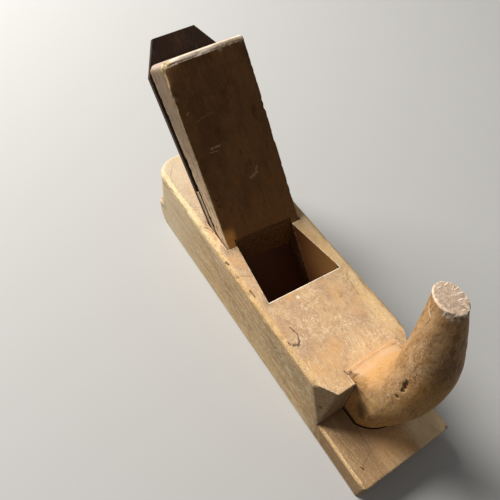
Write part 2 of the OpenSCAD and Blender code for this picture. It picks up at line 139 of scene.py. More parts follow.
# A material whose places are in millimetres
class Look(Nodes):
    def __init__(self, name, paints):
        self.material = bpy.data.materials.new(name)
        self.material.use_nodes = True
        super().__init__(self.material.node_tree, paints)
        self.shader = self.tree.nodes["Principled BSDF"]
        coords = self.tree.nodes.new("ShaderNodeTexCoord")
        self.place = self.scaled(coords.outputs["Object"], (1 / millimetre,) * 3)
        self.x, self.y, self.z = self.put("SeparateXYZ", {"Vector": self.place}).outputs
        self.wobble = None

    def join(self, x, y, z):
        return self.put("CombineXYZ", {0: x, 1: y, 2: z}).outputs[0]

    def scaled(self, vector, sizes):
        return self.vector("MULTIPLY", vector, sizes)

    def shifted(self, vector, by):
        return self.vector("ADD", vector, by)

    def turned(self, vector, angle):
        # Turns places about Z
        inputs = {"Vector": vector, "Angle": math.radians(angle)}
        return self.put("VectorRotate", inputs, rotation_type="Z_AXIS").outputs[0]

    def along(self, direction, start=(0, 0, 0)):
        # Distance from start, along a direction
        offset = self.shifted(self.place, tuple(-v for v in start))
        return self.vector("DOT_PRODUCT", offset, tuple(direction), "Value")

    def attribute(self, name):
        return self.put("Attribute", {}, attribute_name=name).outputs["Fac"]

    def chain(self, operation, values):
        total = values[0]
        for value in values[1:]:
            total = self.math(operation, total, value)
        return total

    def plus(self, *values):
        return self.chain("ADD", values)

    def times(self, *values):
        return self.chain("MULTIPLY", values)

    def most(self, *values):
        return self.chain("MAXIMUM", values)

    def size(self, value):
        return self.math("ABSOLUTE", value)

    def apart(self, a, b):
        # Distance from the place where both are 0
        return self.math("SQRT", self.plus(self.times(a, a), self.times(b, b)))

    def band(self, value, low, high, soft):
        # 1 between low and high, with soft borders
        return self.times((value, low - soft, low + soft), (value, high + soft, high - soft))

    def noise(self, vector, sizes, detail, rough, warp=0):
        inputs = {"Vector": self.scaled(vector, sizes), "Scale": 1, "Detail": detail}
        inputs |= {"Roughness": rough, "Distortion": warp}
        return self.put("TexNoise", inputs).outputs["Fac"]

    def dots(self, vector, sizes, far, near, left):
        # Soft round dots, in the cells whose chance is over what is left out
        cells = self.put("TexVoronoi", {"Vector": self.scaled(vector, sizes), "Scale": 1}).outputs
        chance = self.put("SeparateXYZ", {"Vector": cells["Color"]}).outputs[0]
        return self.times((cells["Distance"], far, near), (chance, left, left + 0.1))

    def hairs(self, vector, sizes, share):
        # Thin hair lines along the first axis, on about this share of the surface
        vector = self.scaled(vector, sizes)
        lines = self.noise(vector, (1, 1, 1), 1, 0.5)
        patches = self.noise(vector, (1.3, 0.06, 0.06), 2, 0.5)
        line = self.step(self.size(self.plus(lines, -0.5)), 0.02, 0.006)
        low = 0.62 - share * 0.25
        return self.times(line, (patches, low, low + 0.1))

    def wobbled(self, amount):
        if not self.wobble:
            wobble = self.put("TexNoise", {"Vector": self.place, "Scale": 0.6, "Detail": 2})
            self.wobble = self.shifted(wobble.outputs["Color"], (-0.5, -0.5, -0.5))
        return self.shifted(self.place, self.scaled(self.wobble, (amount,) * 3))

    def mark(self, width, ragged, *places):
        # 1 along a line through places, 0 beyond its width
        pieces = []
        for start, end in zip(places, places[1:]):
            place = self.wobbled(ragged) if ragged else self.place
            inputs = {"Place": place, "From": start, "To": end, "Width": width}
            pieces.append(self.put("Group", inputs, node_tree=lineGroup()).outputs[0])
        return self.most(*pieces)

    def marks(self, rows):
        return self.most(*[self.mark(*row) for row in rows])

    def mix(self, share, a, b):
        return self.put("Mix", {0: share, 6: a, 7: b}, data_type="RGBA").outputs[2]

    def coat(self, base, colour, *shares):
        # Lays a colour over the base, by the product of its shares
        return self.mix(self.times(*shares), base, colour)

    def coats(self, base, rows):
        for row in rows:
            base = self.coat(base, *row)
        return base

    def shade(self, socket, value):
        self.feed(self.shader.inputs[socket], value)

    def finish(self, colour, roughness, relief, shape):
        # Each row of the relief is a pattern and its height in millimetres
        height = self.plus(*[self.times(*row) for row in relief])
        bump = self.put("Bump", {"Strength": shape["bump"], "Distance": millimetre, "Height": height})
        self.shade("Base Color", colour)
        self.shade("Roughness", roughness)
        self.shade("Normal", bump.outputs[0])
        self.shade("Specular IOR Level", shape["specular"])
        return self.material


# Camera, floor and light
view = {
    "place": (0.1134, -0.1074, 0.2996),
    "right": (0.5420, 0.8400, 0.0240),
    "forward": (-0.4590, 0.3200, -0.8288),
    "lens": 37.08, "sensor": 36, "near": 0.01,
}
stageLook = {
    "floorSize": 6, "floorHeight": -0.0001,
    "floorSeen": (193, 193, 192), "floorBounce": (0.085, 0.083, 0.08, 1),
    "floorRoughness": 0.85, "floorSpecular": 0.1,
    "sky": (1.0, 0.985, 0.965, 1), "skyStrength": 0.15, "skySeen": 0.85,
    "keyFrom": (-0.80, -0.34, 0.78), "keyTarget": (0, 0, 0.03), "keyDistance": 1.3,
    "keySize": 0.78, "keyPower": 26, "keyColour": (1.0, 0.97, 0.92),
}


def placeCamera():
    forward = Vector(view["forward"]).normalized()
    right = Vector(view["right"])
    right = (right - forward * right.dot(forward)).normalized()
    up = right.cross(forward)
    camera = bpy.data.cameras.new("camera")
    camera.lens = view["lens"]
    camera.sensor_width = view["sensor"]
    camera.clip_start = view["near"]
    body = addObject("camera", camera)
    turn = Matrix((right, up, -forward)).transposed().to_4x4()
    body.matrix_world = Matrix.Translation(view["place"]) @ turn
    bpy.context.scene.camera = body


def placeKey():
    s = stageLook
    direction = Vector(s["keyFrom"]).normalized()
    lamp = bpy.data.lights.new("key", "AREA")
    lamp.shape = "DISK"
    lamp.size = s["keySize"]
    lamp.energy = s["keyPower"]
    lamp.color = s["keyColour"]
    body = addObject("key", lamp)
    body.location = Vector(s["keyTarget"]) + direction * s["keyDistance"]
    body.rotation_euler = direction.to_track_quat("Z", "Y").to_euler()


def seenDirectly(n):
    # 1 for what the camera and mirrors see, 0 for light that bounces
    path = n.put("LightPath", {}).outputs
    return n.math("MAXIMUM", path["Is Camera Ray"], path["Is Glossy Ray"])


def placeFloor():
    s = stageLook
    half = s["floorSize"] / 2
    mesh = bpy.data.meshes.new("floor")
    corners = [(-half, -half), (half, -half), (half, half), (-half, half)]
    mesh.from_pydata([(x, y, s["floorHeight"]) for x, y in corners], [], [(0, 1, 2, 3)])
    floor = addObject("floor", mesh)
    look = Look("floor paint", {"seen": s["floorSeen"]})
    look.shade("Base Color", look.mix(seenDirectly(look), s["floorBounce"], "seen"))
    look.shade("Roughness", s["floorRoughness"])
    look.shade("Specular IOR Level", s["floorSpecular"])
    mesh.materials.append(look.material)


def lightWorld():
    world = bpy.data.worlds.new("studio")
    bpy.context.scene.world = world
    world.use_nodes = True
    n = Nodes(world.node_tree)
    back = n.tree.nodes["Background"].inputs
    share = {"Value": seenDirectly(n), "To Min": stageLook["skyStrength"], "To Max": stageLook["skySeen"]}
    n.feed(back["Strength"], n.put("MapRange", share).outputs[0])
    n.feed(back["Color"], stageLook["sky"])


# Fine welded copies of CAD nodes, and their wear
def weldedCopy(node):
    mesh = bmesh.new()
    mesh.from_mesh(nodes[node].data)
    bmesh.ops.remove_doubles(mesh, verts=mesh.verts, dist=1e-6)
    return mesh


def gridCut(mesh, cuts):
    # Cuts the surface by even planes, then drops the old diagonals inside each flat cell
    near, flatAngle = 0.002, 0.004
    for direction, low, high, gap in cuts:
        for place in np.arange(low + gap / 2, high, gap):
            bmesh.ops.bisect_plane(
                mesh, geom=mesh.verts[:] + mesh.edges[:] + mesh.faces[:], dist=1e-7,
                plane_co=direction * (place * millimetre), plane_no=direction,
            )
    mesh.verts.index_update()
    co = np.array([v.co for v in mesh.verts]) / millimetre
    ends = np.array([[v.index for v in edge.verts] for edge in mesh.edges])
    keep = np.zeros(len(ends), bool)
    for direction, low, high, gap in cuts:
        line = (co @ np.array(direction) - low) / gap - 0.5
        onLine = abs(line - np.round(line)) < near
        same = abs(line[ends[:, 0]] - line[ends[:, 1]]) < near
        keep |= onLine[ends[:, 0]] & onLine[ends[:, 1]] & same
    loose = [
        edge
        for edge, kept in zip(mesh.edges[:], keep)
        if not kept and len(edge.link_faces) == 2 and edge.calc_face_angle(0) < flatAngle
    ]
    bmesh.ops.dissolve_edges(mesh, edges=loose, use_verts=True, use_face_split=False)


def voxelCopy(node, gap):
    # A fine even copy of a node with free-form faces
    welded = weldedCopy(node)
    mesh = bpy.data.meshes.new(node + "Rough")
    welded.to_mesh(mesh)
    welded.free()
    body = addObject(node + "Rough", mesh)
    remesh = body.modifiers.new("even", "REMESH")
    remesh.mode = "VOXEL"
    remesh.voxel_size = gap * millimetre
    graph = bpy.context.evaluated_depsgraph_get()
    fine = bmesh.new()
    fine.from_mesh(body.evaluated_get(graph).data)
    bpy.data.objects.remove(body)
    bpy.data.meshes.remove(mesh)
    return fine


def fadingNoise(places, size, seed):
    # Smooth noise from -1 to 1 at places in millimetres, the same in each run
    grid = np.asarray(places) / size
    low = np.floor(grid).astype(np.int64)
    t = grid - low
    t = t * t * (3 - 2 * t)
    total = np.zeros(len(grid))
    whole = 0xFFFFFFFF
    for corner in range(8):
        step = np.array([corner & 1, corner >> 1 & 1, corner >> 2 & 1])
        x, y, z = ((low + step) * (73856093, 19349663, 83492791)).T
        mixed = (x ^ y ^ z ^ seed * 2654435761) & whole
        mixed = (mixed ^ mixed >> 15) * 2246822519 & whole
        mixed = (mixed ^ mixed >> 13) * 3266489917 & whole
        value = ((mixed ^ mixed >> 16) & 0xFFFF) / 32767.5 - 1
        total += value * np.prod(np.where(step, t, 1 - t), axis=1)
    return total


def rise(value, low, high):
    t = np.clip((value - low) / (high - low), 0, 1)
    return t * t * (3 - 2 * t)


def shadeSmooth(data, sharp):
    data.polygons.foreach_set("use_smooth", np.ones(len(data.polygons), bool))
    data.set_sharp_from_angle(angle=sharp)


class Skin:
    # A fine mesh in millimetres, to be worn and then written back
    def __init__(self, mesh, sharpAngle=0.45):
        mesh.verts.index_update()
        mesh.normal_update()
        self.mesh = mesh
        self.co = np.array([v.co for v in mesh.verts]) / millimetre
        self.out = np.array([v.normal for v in mesh.verts])
        self.ends = np.array([[v.index for v in edge.verts] for edge in mesh.edges])
        turn = np.array([edge.calc_face_angle_signed(0) for edge in mesh.edges])
        self.outer = np.unique(self.ends[turn > sharpAngle])
        self.inner = np.unique(self.ends[turn < -sharpAngle])
        self.low, self.high = self.co.min(0), self.co.max(0)

    def noise(self, size, seed, stretch=(1, 1, 1)):
        return fadingNoise(self.co * stretch, size, seed)

    def distance(self, marked, limit=12):
        tree = kdtree.KDTree(len(marked))
        for i in marked:
            tree.insert(self.co[i], int(i))
        tree.balance()
        return np.minimum(np.array([tree.find(p)[2] for p in self.co]), limit)

    def lumps(self, rows):
        # Each row is a size, a seed, how much of the noise is cut off, and a depth
        return sum(depth * np.maximum(0, self.noise(size, seed) - cut) for size, seed, cut, depth in rows)

    def inside(self, low, high):
        return ((self.co > low) & (self.co < high)).all(1)

    def soften(self, weight, rounds):
        # Only edges with a point that moves are needed
        points = len(self.co)
        a, b = self.ends[(weight > 0)[self.ends].any(1)].T
        count = np.maximum(np.bincount(a, minlength=points) + np.bincount(b, minlength=points), 1)
        for _ in range(rounds):
            sums = [
                np.bincount(a, self.co[b, k], points) + np.bincount(b, self.co[a, k], points)
                for k in range(3)
            ]
            self.co += weight[:, None] * (np.transpose(sums) / count[:, None] - self.co)

    def press(self, depth):
        # Moves the surface inwards by a depth at each place
        self.co -= self.out * depth[:, None]

    def dent(self, place, radius, depth, direction=None):
        # A rounded hollow; direction is the way that the surface is pushed
        reach = np.linalg.norm(self.co - place, axis=1) / radius
        push = depth * np.clip(1 - reach, 0, 1) ** 0.8 * (reach < 1)
        way = -self.out if direction is None else np.array(direction) / np.linalg.norm(direction)
        self.co += way * push[:, None]

    def write(self, name, attributes, sharp=0.9):
        co = np.clip(self.co, self.low, self.high) * millimetre
        for vertex, place in zip(self.mesh.verts, co):
            vertex.co = place
        data = bpy.data.meshes.new(name)
        self.mesh.to_mesh(data)
        self.mesh.free()
        for label, values in attributes.items():
            layer = data.attributes.new(label, "FLOAT", "POINT")
            layer.data.foreach_set("value", np.asarray(values, np.float32))
        shadeSmooth(data, sharp)
        data.materials.clear()
        triangles = sum(len(p.vertices) - 2 for p in data.polygons)
        print(f"{name}: {len(data.vertices)} points, {triangles} triangles")
        return addObject(name, data)


def finishPiece(body, material, ridesOn, node):
    body.data.materials.append(material)
    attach(body, ridesOn)
    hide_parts(node)


placeCamera()
placeFloor()
lightWorld()
placeKey()
print("stage ready")


stockShape = {
    "grid": 1.0, "gridUp": 1.2, "bump": 0.6, "specular": 0.1,
    # Softened edges: how much, within which distances, and how patchily (size, seed)
    "edgeWear": 0.35, "edgeReach": (3.0, 0.5), "softRounds": 4, "patches": (9, 11),
    # Opposite corners of the throat, and of the pocket that holds the horn's tongue
    "throat": ((-75, -25.2, -1), (16, 25.2, 56.1)),
    "pocket": ((64.6, -13.1, 19), (112, 21.3, 57)),
    "cutWear": 0.08,
    # Long shallow waves (depth), and nicks along the long arrises
    "wave": 0.07,
    "nicks": [(3.1, 21, 0.25, 0.6), (6.5, 23, 0.3, 0.6)],
    # Place, radius and depth of each chip, and the direction of its push
    "chips": [
        ((111.4, -29.4, 19), 3.4, 0.9, (-1, 0.8, -0.8)),
        ((109.5, -29.8, 18.8), 2.4, 0.5, (0, 0.8, -0.8)),
        ((111.4, 29.0, 19), 2.6, 0.9, (-1, -0.4, -1)),
        ((111.4, 30, 12), 3.0, 0.5, (-1, -0.8, 0)),
        ((-111, -30, 20.5), 3.0, 0.6, (0.5, 1, -0.3)),
        ((61, -30, 55.5), 2.6, 0.7, (0.3, 0.8, -0.8)),
        ((72, 22, 56), 2.6, 0.6, (-0.7, 0, -0.7)),
        ((-21, -30, 54.5), 2.2, 0.5, (0, 0.7, -0.7)),
        ((-10.6, -29.4, 55), 2.0, 0.45, (0, 0.7, -0.7)),
        ((3, -29.6, 55), 2.6, 0.5, (0, 0.7, -0.7)),
        ((18, -30, 54.5), 3.0, 0.5, (0, 0.7, -0.7)),
        ((34, -29.6, 55), 2.4, 0.5, (0, 0.7, -0.7)),
        ((-50, -30, 54.2), 3.0, 0.5, (0, 0.7, -0.7)),
        ((69.1, -28.1, 37.4), 1.6, 0.8, (-0.5, 0.85, -0.15)),
        ((30, 30, 55), 2.6, 0.6, (0, -0.7, -0.7)),
        ((-64, 30, 54.8), 2.4, 0.5, (0, -0.7, -0.7)),
    ],
}
stockColours = {
    "tan": (216, 179, 138), "pinkGrey": (194, 160, 128), "honey": (226, 186, 134),
    "smear": (232, 184, 132), "heelArrisPaintedHighlight": (250, 228, 178), "heelTopPaintedLight": (222, 205, 178),
    "drab": (184, 148, 112), "stain": (170, 126, 92), "warm": (222, 174, 120),
    "rail": (246, 210, 148), "side": (236, 196, 142), "sideLow": (250, 212, 152),
    "sideDark": (196, 160, 114), "sideToe": (142, 120, 88), "olive": (168, 148, 112),
    "bleachedAndLit": (240, 222, 190), "arris": (228, 188, 128), "dark": (118, 84, 54),
    "grimeAndShade": (66, 42, 26), "throat": (92, 36, 6), "cheek": (152, 110, 64), "pale": (244, 218, 180),
    "bare": (250, 228, 194), "endGrain": (176, 136, 94), "facet": (212, 180, 138),
    "platform": (162, 128, 90), "platformFrontPaintedLight": (222, 172, 114), "platformFarPaintedLight": (255, 226, 178),
    "toeArris": (222, 186, 134), "cream": (255, 246, 228), "purple": (84, 58, 58),
    "crescent": (24, 12, 6),
}


def makeStock():
    s = stockShape
    mesh = weldedCopy("stock")
    gridCut(mesh, [
        (Vector((1, 0, 0)), -112, 112, s["grid"]),
        (Vector((0, 1, 0)), -30, 30, s["grid"]),
        (Vector((0, 0, 1)), 0, 56, s["gridUp"]),
    ])
    skin = Skin(mesh)
    y, z = skin.co.T[1:]
    outerGap = skin.distance(skin.outer)
    innerGap = skin.distance(skin.inner)
    # Inside the throat and the pocket the cuts stay crisp
    inPocket = skin.inside(*s["pocket"])
    cut = skin.inside(*s["throat"]) | inPocket
    fresh = np.where(cut, s["cutWear"], 1.0)
    patchy = 0.55 + 0.45 * skin.noise(*s["patches"])
    weight = s["edgeWear"] * fresh * patchy * rise(outerGap, *s["edgeReach"])
    skin.soften(np.clip(weight, 0, 0.6), s["softRounds"])
    outside = np.where(cut, 0.0, 1.0)
    wave = s["wave"] * (skin.noise(16, 3, (0.4, 1, 1)) + 0.5 * skin.noise(6, 5, (0.5, 1, 1)))
    arris = rise(np.abs(y), 26.5, 29) * rise(z, 52.5, 54.5)
    skin.press((wave + s["wave"]) * outside * rise(innerGap, 0.3, 2.0) + skin.lumps(s["nicks"]) * arris)
    for chip in s["chips"]:
        skin.dent(*chip)
    return skin.write("stockWood", {
        "edge": np.exp(-outerGap / 0.8),
        "nook": np.exp(-innerGap / 1.6) * np.where(inPocket, 0.0, 1.0),
    })


# A mark has a width, a raggedness and the places along it
stockMarks = {
    "splits": [
        (0.5, 1, (34, -28.6, 55.6), (38.4, -27.2, 55.9)),
        (1, 0.4, (0.9, -27.8, 55.9), (5.5, -27.6, 55.9)),
        (1.1, 1, (-21.6, -29.2, 54.8), (-19.8, -28.6, 55.4)),
        (0.9, 1, (-10.8, -29.4, 55), (-9.4, -28.6, 55.6)),
        (0.4, 0.8, (-43, -24.6, 56), (-46.5, -25.4, 56), (-49, -27.2, 56)),
        (0.4, 0.1, (63.8, -13, 56), (66.4, -12.6, 56)),
        (0.7, 1.2, (101.4, -23.9, 19.3), (103, -23.2, 19.3)),
        (0.9, 0.6, (69.3, -28, 37), (69.6, -27.9, 36.2)),
        (1.6, 1, (110.8, 28.4, 19.2), (111.4, 29.4, 18.4)),
        (0.5, 1.2, (-22.5, -30, 23.9), (-10, -30, 23.6), (0.3, -30, 21.9)),
        (0.4, 1.4, (40, -30, 15), (52, -30, 14), (66, -30, 16)),
        (0.5, 1.2, (26, 30, 40), (48, 30, 42)),
        (0.5, 1.4, (-60, 30, 22), (-20, 30, 19)),
    ],
    "hook": [
        (0.62, 0.5, (30, -21.9, 56), (35.2, -21, 56), (39, -22.4, 56)),
        (1.2, 1.2, (39, -22.4, 56), (40.8, -24.4, 56)),
        (1.2, 1.8, (40.4, -23.6, 56), (39.2, -26.2, 56)),
    ],
    "rubs": [
        (0.5, 0.8, (-101, -21, 56), (-93.8, -26.2, 56), (-79.7, -27, 56), (-65.3, -25.9, 56)),
        (0.9, 1.2, (-98, -30, 49), (-91.8, -30, 52.2), (-79.9, -29.9, 53.6), (-66.3, -29.6, 54)),
        (0.8, 1.4, (-52, -30, 49), (-40, -30, 43), (-26, -30, 41)),
        (0.8, 0.8, (-9.9, -27.4, 56), (-6.2, -21.8, 56)),
        (0.8, 1.5, (18, 26, 56), (22, 22.5, 56), (34, 21, 56)),
        (0.5, 1, (75, -24, 19.3), (110, -25.5, 19.3)),
        (0.6, 1.5, (74, -12, 19.3), (98, -14, 19.3), (100, -19.5, 19.3), (102, -23, 19.3)),
    ],
    "light": [
        (0.45, 0.3, (72, -29.2, 20.2), (72, -12.8, 19.9)),
        (0.5, 0.3, (72, -12.6, 20), (72, -12.6, 55)),
        (0.42, 1.6, (76, -28.6, 19.3), (88, -28.2, 19.3), (98, -28.8, 19.3), (109, -28, 19.3)),
        (0.6, 1.2, (-46, -30, 51), (-14.1, -30, 50.1), (6.7, -30, 47.6)),
        (0.35, 1.6, (24, -30, 48), (44, -30, 47)),
        (0.8, 0.8, (99.4, 14, 19.3), (100.6, 13.8, 19.3)),
        (0.5, 0.8, (101.6, 13.4, 19.3), (103.2, 12.2, 19.3)),
        (0.9, 0.8, (56, -30, 34), (57, -30, 34.4)),
        (0.6, 1.2, (-100, -30, 2), (108, -30, 1.6)),
    ],
}


def stockMaterial():
    look = Look("worn beech", stockColours)
    noise, step, band = look.noise, look.step, look.band
    times, plus, coats = look.times, look.plus, look.coats
    p, x, y, z = look.place, look.x, look.y, look.z
    width = look.size(y)
    side = step(width, 28.4, 29.7)
    toe = step(x, 110.9, 111.3)
    heel = step(x, -109.3, -110.2)
    low = times((x, 71.9, 72.1), (z, 21.5, 20.5))
    # Fibres run along X
    fine = noise(p, (0.25, 2.8, 2.8), 2, 0.6)
    streak = noise(p, (0.045, 0.42, 0.36), 4, 0.6, 0.6)
    coarse = noise(p, (0.035, 0.3, 0.34), 4, 0.65, 0.9)
    bands = noise(p, (0.012, 0.13, 0.13), 3, 0.6, 0.4)
    # Patches, clouds and blotches of use
    patch = noise(p, (0.035, 0.05, 0.05), 4, 0.6)
    cloud = noise(look.shifted(p, (7, 31, 0)), (0.1, 0.14, 0.14), 5, 0.7, 0.5)
    blotch = noise(look.shifted(p, (53, 3, 9)), (0.3, 0.4, 0.4), 5, 0.72, 0.9)
    mottle = noise(p, (0.65, 0.95, 0.95), 3, 0.7)
    grit = noise(p, (1.9, 2.4, 2.4), 2, 0.6)
    speckle = noise(look.shifted(p, (3, 71, 5)), (0.85, 1, 1), 4, 0.75, 0.4)
    fleck = look.dots(p, (0.24, 1.3, 1.3), 0.3, 0.12, 0.5)
    hair = look.hairs(look.turned(p, 12), (0.05, 0.9, 0.9), 0.5)
    hairAcross = look.hairs(look.turned(look.shifted(p, (0, 0, 40)), -34), (0.06, 0.8, 0.8), 0.25)
    # Top: tan, pinkish grey and honey patches
    clusters = noise(look.shifted(p, (17, 0, 60)), (0.07, 0.09, 0.09), 2, 0.5)
    clustered = step(clusters, 0.44, 0.62, 0.22, 1)
    stain = noise(look.shifted(p, (90, 7, 0)), (0.07, 0.09, 0.09), 3, 0.6, 1)
    rail = times((y, 15, 24), band(x, -30, 56, 8))
    colour = coats("pinkGrey", [
        ("tan", (cloud, 0.38, 0.62)),
        ("honey", (patch, 0.5, 0.66, 0, 0.75)),
        ("drab", (patch, 0.46, 0.34, 0, 0.45)),
        ("honey", (x, 42, 66), (cloud, 0.35, 0.6, 0.25, 0.8)),
        ("pale", (blotch, 0.51, 0.62, 0, 0.6), clustered),
        ("drab", (blotch, 0.47, 0.36, 0, 0.5)),
        ("bare", (speckle, 0.55, 0.61, 0, 0.72), clustered),
        ("drab", (speckle, 0.42, 0.33, 0, 0.3)),
        ("warm", (clusters, 0.46, 0.34, 0, 0.55)),
        ("stain", (stain, 0.6, 0.7, 0, 0.45)),
        ("rail", rail, (cloud, 0.3, 0.6, 0.15, 0.5)),
        ("pale", rail, (coarse, 0.48, 0.36, 0, 0.6)),
    ])
    # Sides: greyer above, yellower towards the sole, in long streaks
    smudge = noise(look.shifted(p, (31, 9, 2)), (0.09, 0.25, 0.25), 5, 0.65, 1.4)
    sideTone = coats("side", [
        ("sideDark", (coarse, 0.4, 0.64)),
        ("olive", (cloud, 0.5, 0.66, 0, 0.6)),
        ("olive", band(x, 18, 66, 12), band(z, 28, 50, 6), (bands, 0.4, 0.6, 0.35, 0.9)),
        ("sideLow", (plus(z, times(bands, 26)), 31, 16), (coarse, 0.4, 0.62, 0.95, 0.6)),
        ("bleachedAndLit", (blotch, 0.5, 0.62, 0, 0.75)),
        ("olive", (blotch, 0.47, 0.34, 0, 0.6)),
        ("sideDark", (smudge, 0.52, 0.62, 0, 0.6)),
        ("bleachedAndLit", (smudge, 0.45, 0.35, 0, 0.55)),
        ("sideToe", (x, 54, 80), (plus(blotch, coarse, -0.5), 0.66, 0.36, 0.45, 0.95)),
    ])
    colour = look.coat(colour, sideTone, side)
    # The platform, under the horn, is darker: partly darker wood and partly painted shade, most at its
    # right; painted light on its front and far side, where the horn's shadow falls
    edgeLine = plus(width, times(plus(blotch, -0.5), 5))
    arris = times((edgeLine, 26.8, 28.2), (plus(z, times(mottle, 2)), 52.8, 54))
    colour = coats(colour, [
        ("platform", low, (y, -8, -17, 0.3, 0.9)),
        ("platformFrontPaintedLight", low, band(y, -10, 8, 7), band(x, 84, 108, 5), 0.75),
        ("platformFarPaintedLight", low, (y, 5, 15), (x, 92, 99), (cloud, 0.3, 0.6, 0.75, 1)),
        ("arris", arris, (mottle, 0.35, 0.55, 0.25, 0.9)),
    ])
    # Painted light: the heel's top and sides paler, as nearer the light, with a painted highlight along
    # its arris
    colour = coats(colour, [
        (look.mix(side, "heelTopPaintedLight", "bleachedAndLit"), (x, -30, -104, 0, 0.72)),
        ("heelArrisPaintedHighlight", (edgeLine, 25.8, 27.4), (z, 49.5, 52.5), (x, 0, -70), (mottle, 0.6, 0.4, 0.45, 0.9)),
    ])
    # Grain and flecks, weaker on the top
    strength = step(look.most(side, times(low, 0.4)), 0, 1, 0.2, 0.55)
    toeGrain = noise(look.turned(p, -8), (0.03, 1.2, 1.2), 3, 0.65)
    toeShare = times(look.most(low, (x, 58, 70)), (y, 8, -8, 0.5, 1))
    toeArris = times(band(width, 28.3, 30.2, 0.5), band(z, 17.6, 20, 0.8))
    colour = coats(colour, [
        ("dark", (streak, 0.52, 0.66), strength, 0.34),
        ("pale", (streak, 0.48, 0.35), strength, 0.4),
        ("dark", (fine, 0.5, 0.7, 0, 0.2), plus(strength, 0.1)),
        ("dark", (grit, 0.56, 0.72, 0, 0.26)),
        ("pale", (grit, 0.42, 0.28, 0, 0.5)),
        ("dark", (mottle, 0.56, 0.72, 0, 0.22)),
        ("pale", (mottle, 0.43, 0.3, 0, 0.4)),
        ("dark", fleck, plus(strength, 0.1), 0.4),
        ("bare", hair, plus(times((x, 36, 58), (z, 50, 54, 0, 0.5)), 0.25)),
        ("dark", hairAcross, 0.3),
        ("dark", toeShare, (toeGrain, 0.54, 0.68, 0, 0.16)),
        ("pale", toeShare, (toeGrain, 0.46, 0.32, 0, 0.2)),
        ("toeArris", toeArris, (x, 72, 73), (mottle, 0.62, 0.42, 0.25, 0.9)),
    ])
    # End grain at toe and heel, with rings round a pith line below the sole
    radius = look.apart(plus(y, -14), plus(z, 90))
    ring = look.math("SINE", plus(times(radius, 2.2), times(patch, 7)))
    endTone = coats("endGrain", [
        ("dark", (ring, -0.4, 1, 0, 0.35)),
        ("dark", (noise(p, (0.5, 5, 5), 1, 0.5), 0.52, 0.66), 0.4),
        ("bleachedAndLit", (blotch, 0.5, 0.66, 0, 0.5)),
    ])
    colour = coats(colour, [(endTone, look.most(toe, heel), 0.75), ("platform", (z, 0.5, 0.1), 0.45)])
    # Sawn faces beside the horn: the slanting facet and the wall
    facet = look.along((-0.52, 0.84, -0.17), (69.1, -28.1, 37.4))
    onFacet = times(band(facet, -0.5, 0.7, 0.15), (x, 59, 60.5), (width, 22, 22.6))
    onWall = times(band(x, 71.4, 72.6, 0.15), (z, 20.2, 20.8))
    saw = noise(look.turned(p, 20), (1, 0.2, 1.6), 3, 0.6)
    sawn = look.coat("facet", "dark", (saw, 0.38, 0.68, 0.15, 0.72))
    # The step wall is darkened further with painted shade
    colour = coats(colour, [(sawn, look.most(onFacet, onWall), (z, 55.6, 55)), ("grimeAndShade", onWall, 0.38)])
    # Painted shade down in the throat, lighter where its cheeks are lit towards the front and top; grime
    # and painted shade in the inner corners; bare crisp arrises
    lit = times((x, -24, 10, 0.08, 1), (z, 14, 50))
    cheekTone = look.mix(lit, "throat", "cheek")
    edge = look.attribute("edge")
    topOnly = step(z, 55.3, 55.9)
    crisp = times(edge, (plus(edge, times(mottle, 0.5)), 0.7, 1.1))
    spots = noise(p, (0.7, 1.1, 1.1), 3, 0.75)
    colour = coats(colour, [
        (cheekTone, (width, 24.8, 24.5), (z, 55.97, 55.75), (x, 15.4, 15), (x, -78, -74), 0.96),
        # grime and painted shade along the inner corners
        ("grimeAndShade", look.attribute("nook"), (patch, 0.3, 0.6, 0.35, 0.85)),
        ("bare", crisp, (topOnly, 0, 1, 0.55, 0.85), (mottle, 0.62, 0.45)),
        ("grimeAndShade", arris, (spots, 0.59, 0.66), 0.75),
        ("bare", arris, (spots, 0.42, 0.34), 0.7),
    ])
    # Splits, dents and stains
    splits = look.marks(stockMarks["splits"])
    joint = band(y, -12, 20, 1)
    seam = times(band(x, 63.9, 65.4, 0.5), joint, topOnly, (speckle, 0.5, 0.62))
    smear = times(joint, (plus(x, times(mottle, 7)), 66.4, 67.4), topOnly, (x, 67, 66))
    light = look.most(seam, look.marks(stockMarks["light"]))
    crest = times(band(x, 11.4, 17, 0.3), topOnly, (width, 24.4, 24.1), (edge, 0.55, 0.85, 0, 0.7))
    spot = look.mark(1.5, 0, (17.8, -7.9, 56), (18.1, -7.9, 56))
    colour = coats(colour, [
        ("grimeAndShade", splits, 0.9),
        ("purple", look.marks(stockMarks["hook"]), 0.95),
        ("dark", look.marks(stockMarks["rubs"]), 0.4),
        ("smear", smear, 0.7),
        ("bare", light, 0.7),
        ("cream", plus(crest, spot), (mottle, 0.7, 0.5, 0.6, 1)),
    ])
    # Painted shade where the horn's foot meets the platform: a soft darkening round it and a dark crescent
    # along its edge
    footGap = look.apart(plus(x, -footCentre[0]), plus(y, -footCentre[1]))
    colour = coats(colour, [
        ("dark", low, (footGap, 27, 18, 0, 0.35)),
        ("crescent", low, (footGap, 18.9, 18.5), (y, 15, 3), (y, -13, -12.8), 0.95),
    ])
    relief = [(fine, -0.06), (streak, -0.1), (grit, -0.06), (blotch, -0.12), (splits, -0.4)]
    return look.finish(colour, (mottle, 0.3, 0.7, 0.55, 0.72), relief, stockShape)


stock = makeStock()
finishPiece(stock, stockMaterial(), "plane_body", "stock")
print("stock done")


